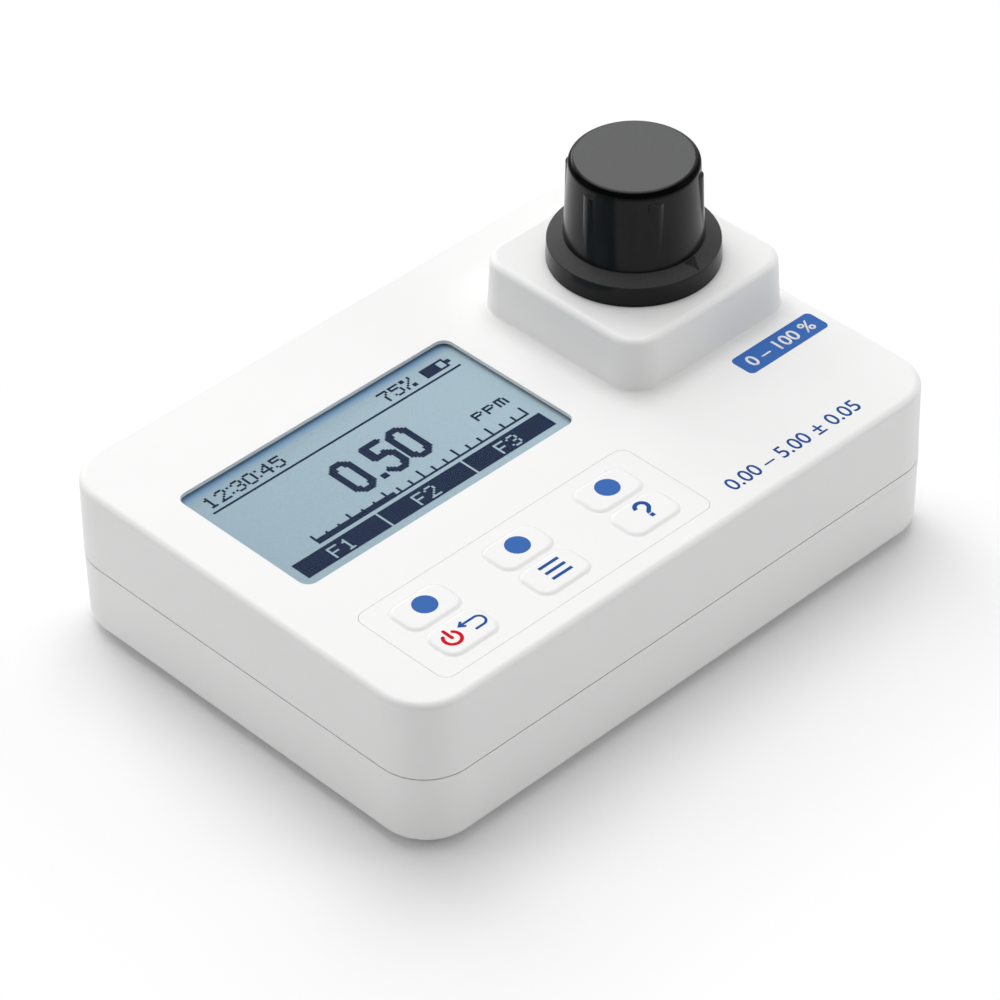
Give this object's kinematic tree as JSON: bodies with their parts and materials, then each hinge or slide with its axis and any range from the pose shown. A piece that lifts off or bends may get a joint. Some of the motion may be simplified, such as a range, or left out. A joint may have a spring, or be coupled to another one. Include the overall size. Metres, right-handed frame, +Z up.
{
  "type": "photometer",
  "caption": "Portable bench photometer: low white case with a sunk display, a keypad, and a ribbed black light cap that lifts off the cuvette well in its raised block.",
  "frame": {"origin": "on the table, under the middle of the case", "axes": "+X to the user's right, +Y to the back, +Z up"},
  "size_m": [0.1426, 0.1024, 0.0718],
  "materials": {
    "case_white": "satin moulded plastic",
    "keypad_white": "smooth printed plate",
    "key_white": "soft satin key tops",
    "window_clear": "clear glossy pane",
    "lcd_grey": "pale blue-grey display glass",
    "guide_white": "diffusing light guide",
    "frame_grey": "moulded frame",
    "cap_black": "black moulded plastic, finely textured",
    "holder_black": "light-absorbing black plastic",
    "seal_black": "soft black rubber",
    "foot_grey": "dark grey rubber",
    "screw_steel": "zinc-plated steel",
    "board_green": "solder-masked board",
    "chip_black": "moulded chips",
    "connector_white": "nylon connectors",
    "ribbon_amber": "polyimide ribbon",
    "lead_grey": "flexible insulation",
    "contact_nickel": "nickel-plated spring sheet",
    "cell_wrap": "plain wrapped cells",
    "optic_glass": "polished optical glass",
    "filter_tint": "coated narrow-band filter",
    "led_clear": "clear lamp body",
    "can_metal": "metal sensor can"
  },
  "bodies": {
    "housing": {"upper_case": "case_white", "lower_case": "case_white", "battery_cover": "case_white", "keypad_panel": "keypad_white", "display_window": "window_clear", "lcd_panel": "lcd_grey", "lcd_backlight": "guide_white", "lcd_frame": "frame_grey", "cuvette_holder": "holder_black", "lamp_barrel": "holder_black", "detector_barrel": "holder_black", "case_seal": "seal_black", "battery_seal": "seal_black", "holder_seal": "seal_black", "rubber_feet": "foot_grey", "case_screws": "screw_steel", "battery_screws": "screw_steel", "board_screws": "screw_steel", "keypad_screws": "screw_steel", "main_board": "board_green", "keypad_board": "board_green", "lamp_board": "board_green", "detector_board": "board_green", "board_chips": "chip_black", "tact_switches": "chip_black", "beeper": "chip_black", "board_connectors": "connector_white", "keypad_ribbon": "ribbon_amber", "lamp_lead": "lead_grey", "detector_lead": "lead_grey", "battery_contacts": "contact_nickel", "battery_pins": "contact_nickel", "clock_cell": "contact_nickel", "battery_cell_1": "cell_wrap", "battery_cell_2": "cell_wrap", "battery_cell_3": "cell_wrap", "lamp_lens": "optic_glass", "beam_splitter": "optic_glass", "lamp_filter": "filter_tint", "lamp_led": "led_clear", "sample_detector": "can_metal", "reference_detector": "can_metal"},
    "key_power": {"key_power": "key_white"},
    "key_menu": {"key_menu": "key_white"},
    "key_help": {"key_help": "key_white"},
    "key_left": {"key_left": "key_white"},
    "key_middle": {"key_middle": "key_white"},
    "key_right": {"key_right": "key_white"},
    "cap_seal": {"cap_seal": "seal_black"},
    "cap": {"cap": "cap_black"}
  },
  "joints": [
    {"name": "cap_lift", "type": "slide", "parent": "housing", "child": "cap_seal", "axis": [0, 0, 1], "range_m": [0, 0.1]},
    {"name": "cap_turn", "type": "hinge", "parent": "cap_seal", "child": "cap", "pos_m": [0.046, 0.00987, 0.04798], "axis": [0, 0, 1], "continuous": true},
    {"name": "key_power_press", "type": "slide", "parent": "housing", "child": "key_power", "axis": [0, 0, -1], "range_m": [0, 0.0004], "stiffness_N_per_m": 1500},
    {"name": "key_menu_press", "type": "slide", "parent": "housing", "child": "key_menu", "axis": [0, 0, -1], "range_m": [0, 0.0004], "stiffness_N_per_m": 1500},
    {"name": "key_help_press", "type": "slide", "parent": "housing", "child": "key_help", "axis": [0, 0, -1], "range_m": [0, 0.0004], "stiffness_N_per_m": 1500},
    {"name": "key_left_press", "type": "slide", "parent": "housing", "child": "key_left", "axis": [0, 0, -1], "range_m": [0, 0.0004], "stiffness_N_per_m": 1500},
    {"name": "key_middle_press", "type": "slide", "parent": "housing", "child": "key_middle", "axis": [0, 0, -1], "range_m": [0, 0.0004], "stiffness_N_per_m": 1500},
    {"name": "key_right_press", "type": "slide", "parent": "housing", "child": "key_right", "axis": [0, 0, -1], "range_m": [0, 0.0004], "stiffness_N_per_m": 1500}
  ]
}
